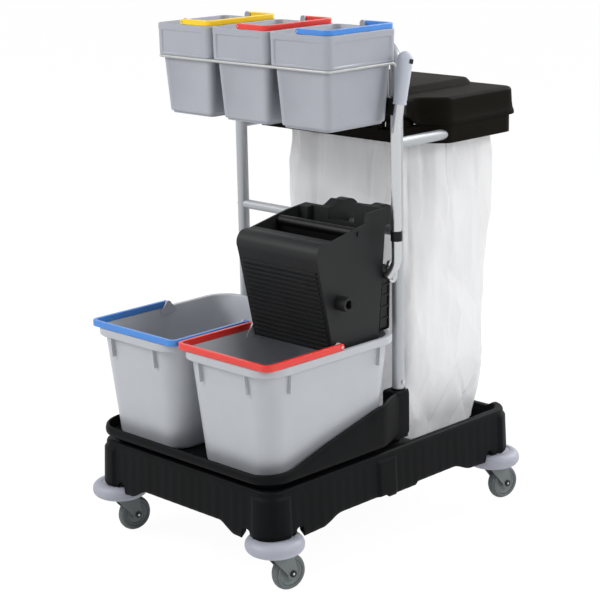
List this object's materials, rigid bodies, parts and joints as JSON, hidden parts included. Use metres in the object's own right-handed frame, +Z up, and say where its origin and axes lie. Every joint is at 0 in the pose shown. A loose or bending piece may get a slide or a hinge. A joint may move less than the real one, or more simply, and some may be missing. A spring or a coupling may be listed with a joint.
{
  "type": "janitor cart",
  "caption": "Cleaning trolley on swivel casters with buckets in a tray, a mop press with an upright lever, a rack of small pails and a lidded waste-bag holder.",
  "frame": {"origin": "on the floor under the middle of the cart's box", "axes": "+Z up, -Y towards the bucket end, +Y towards the waste-bag end, +X towards the side with the press lever"},
  "size_m": [0.594, 0.818, 1.0953],
  "materials": {
    "black_plastic": "black structural foam with a fine grain",
    "charcoal_plastic": "charcoal moulded plastic",
    "grey_plastic": "light grey moulded plastic",
    "bumper_plastic": "soft grey bumper plastic",
    "caster_plastic": "dark grey caster plastic",
    "tyre": "grey rubber tread",
    "silver_tube": "silver powder coat",
    "zinc_steel": "zinc-plated steel",
    "lever_steel": "satin stainless tube",
    "wire": "off-white coated wire",
    "grip_plastic": "light blue-grey grip",
    "red_plastic": "red moulded plastic",
    "blue_plastic": "blue moulded plastic",
    "yellow_plastic": "yellow moulded plastic",
    "bag_film": "thin translucent white film"
  },
  "bodies": {
    "chassis": {"base": "black_plastic", "bucket_tray": "black_plastic", "caster_stems": "zinc_steel", "bumper_front_left": "bumper_plastic", "bumper_front_right": "bumper_plastic", "bumper_rear_left": "bumper_plastic", "bumper_rear_right": "bumper_plastic", "frame_hoop": "silver_tube", "crossbar": "silver_tube", "bag_tubes": "silver_tube", "frame_screws": "zinc_steel", "wire_rack": "wire", "rack_clips": "black_plastic", "bag_ring": "black_plastic", "lid_pins": "zinc_steel", "waste_bag": "bag_film"},
    "caster_front_left": {"fork_front_left": "caster_plastic", "axle_front_left": "zinc_steel"},
    "wheel_front_left": {"hub_front_left": "caster_plastic", "tyre_front_left": "tyre"},
    "caster_front_right": {"fork_front_right": "caster_plastic", "axle_front_right": "zinc_steel"},
    "wheel_front_right": {"hub_front_right": "caster_plastic", "tyre_front_right": "tyre"},
    "caster_rear_left": {"fork_rear_left": "caster_plastic", "axle_rear_left": "zinc_steel"},
    "wheel_rear_left": {"hub_rear_left": "caster_plastic", "tyre_rear_left": "tyre"},
    "caster_rear_right": {"fork_rear_right": "caster_plastic", "axle_rear_right": "zinc_steel"},
    "wheel_rear_right": {"hub_rear_right": "caster_plastic", "tyre_rear_right": "tyre"},
    "bucket_left": {"bucket_left": "grey_plastic"},
    "bucket_bail_left": {"bucket_bail_left": "blue_plastic"},
    "bucket_right": {"bucket_right": "grey_plastic"},
    "bucket_bail_right": {"bucket_bail_right": "red_plastic"},
    "press": {"press_housing": "charcoal_plastic", "bearing_brackets": "charcoal_plastic"},
    "lever": {"lever_shaft": "zinc_steel", "press_cams": "charcoal_plastic", "lever_tube": "lever_steel", "lever_grip": "grip_plastic", "lever_band": "black_plastic", "lever_bolt": "zinc_steel"},
    "jaw": {"press_jaw": "charcoal_plastic", "jaw_shaft": "zinc_steel"},
    "pail_left": {"pail_left": "grey_plastic"},
    "pail_bail_left": {"pail_bail_left": "yellow_plastic"},
    "pail_middle": {"pail_middle": "grey_plastic"},
    "pail_bail_middle": {"pail_bail_middle": "red_plastic"},
    "pail_right": {"pail_right": "grey_plastic"},
    "pail_bail_right": {"pail_bail_right": "blue_plastic"},
    "lid": {"lid": "black_plastic"}
  },
  "joints": [
    {"name": "swivel_front_left", "type": "hinge", "parent": "chassis", "child": "caster_front_left", "pos_m": [-0.237, -0.345, 0.09], "axis": [0, 0, 1], "continuous": true},
    {"name": "roll_front_left", "type": "hinge", "parent": "caster_front_left", "child": "wheel_front_left", "pos_m": [-0.23215, -0.31438, 0.0375], "axis": [0.9877, -0.1564, 0], "continuous": true},
    {"name": "swivel_front_right", "type": "hinge", "parent": "chassis", "child": "caster_front_right", "pos_m": [0.237, -0.345, 0.09], "axis": [0, 0, 1], "continuous": true},
    {"name": "roll_front_right", "type": "hinge", "parent": "caster_front_right", "child": "wheel_front_right", "pos_m": [0.24185, -0.31438, 0.0375], "axis": [0.9877, -0.1564, 0], "continuous": true},
    {"name": "swivel_rear_left", "type": "hinge", "parent": "chassis", "child": "caster_rear_left", "pos_m": [-0.237, 0.337, 0.09], "axis": [0, 0, 1], "continuous": true},
    {"name": "roll_rear_left", "type": "hinge", "parent": "caster_rear_left", "child": "wheel_rear_left", "pos_m": [-0.23215, 0.36762, 0.0375], "axis": [0.9877, -0.1564, 0], "continuous": true},
    {"name": "swivel_rear_right", "type": "hinge", "parent": "chassis", "child": "caster_rear_right", "pos_m": [0.237, 0.337, 0.09], "axis": [0, 0, 1], "continuous": true},
    {"name": "roll_rear_right", "type": "hinge", "parent": "caster_rear_right", "child": "wheel_rear_right", "pos_m": [0.24185, 0.36762, 0.0375], "axis": [0.9877, -0.1564, 0], "continuous": true},
    {"name": "bucket_left_lift", "type": "slide", "parent": "chassis", "child": "bucket_left", "axis": [0, 0, 1], "range_m": [0, 0.1]},
    {"name": "bucket_left_bail_swing", "type": "hinge", "parent": "bucket_left", "child": "bucket_bail_left", "pos_m": [-0.135, -0.175, 0.4748], "axis": [-1, 0, 0], "range_deg": [0, 145]},
    {"name": "bucket_right_lift", "type": "slide", "parent": "chassis", "child": "bucket_right", "axis": [0, 0, 1], "range_m": [0, 0.1]},
    {"name": "bucket_right_bail_swing", "type": "hinge", "parent": "bucket_right", "child": "bucket_bail_right", "pos_m": [0.135, -0.175, 0.4748], "axis": [-1, 0, 0], "range_deg": [0, 70]},
    {"name": "press_lift", "type": "slide", "parent": "bucket_right", "child": "press", "axis": [0, 0, 1], "range_m": [0, 0.035]},
    {"name": "lever_pull", "type": "hinge", "parent": "press", "child": "lever", "pos_m": [0.135, -0.016, 0.588], "axis": [1, 0, 0], "range_deg": [0, 85], "stiffness_Nm_per_rad": 2, "springref_deg": -28.65},
    {"name": "jaw_swing", "type": "hinge", "parent": "press", "child": "jaw", "pos_m": [0.135, -0.105, 0.689], "axis": [-1, 0, 0], "range_deg": [0, 16]},
    {"name": "pail_left_lift", "type": "slide", "parent": "chassis", "child": "pail_left", "axis": [0, 0, 1], "range_m": [0, 0.15]},
    {"name": "pail_left_bail_swing", "type": "hinge", "parent": "pail_left", "child": "pail_bail_left", "pos_m": [-0.1665, -0.086, 1.0898], "axis": [0, -1, 0], "range_deg": [0, 180]},
    {"name": "pail_middle_lift", "type": "slide", "parent": "chassis", "child": "pail_middle", "axis": [0, 0, 1], "range_m": [0, 0.15]},
    {"name": "pail_middle_bail_swing", "type": "hinge", "parent": "pail_middle", "child": "pail_bail_middle", "pos_m": [0, -0.086, 1.0898], "axis": [0, -1, 0], "range_deg": [0, 180]},
    {"name": "pail_right_lift", "type": "slide", "parent": "chassis", "child": "pail_right", "axis": [0, 0, 1], "range_m": [0, 0.15]},
    {"name": "pail_right_bail_swing", "type": "hinge", "parent": "pail_right", "child": "pail_bail_right", "pos_m": [0.1665, -0.086, 1.0898], "axis": [0, -1, 0], "range_deg": [0, 180]},
    {"name": "lid_open", "type": "hinge", "parent": "chassis", "child": "lid", "pos_m": [0, 0.064, 0.8753], "axis": [1, 0, 0], "range_deg": [0, 70]}
  ],
  "couplings": [
    {"joint": "jaw_swing", "follows": "lever_pull", "ratio": 0.18824}
  ]
}
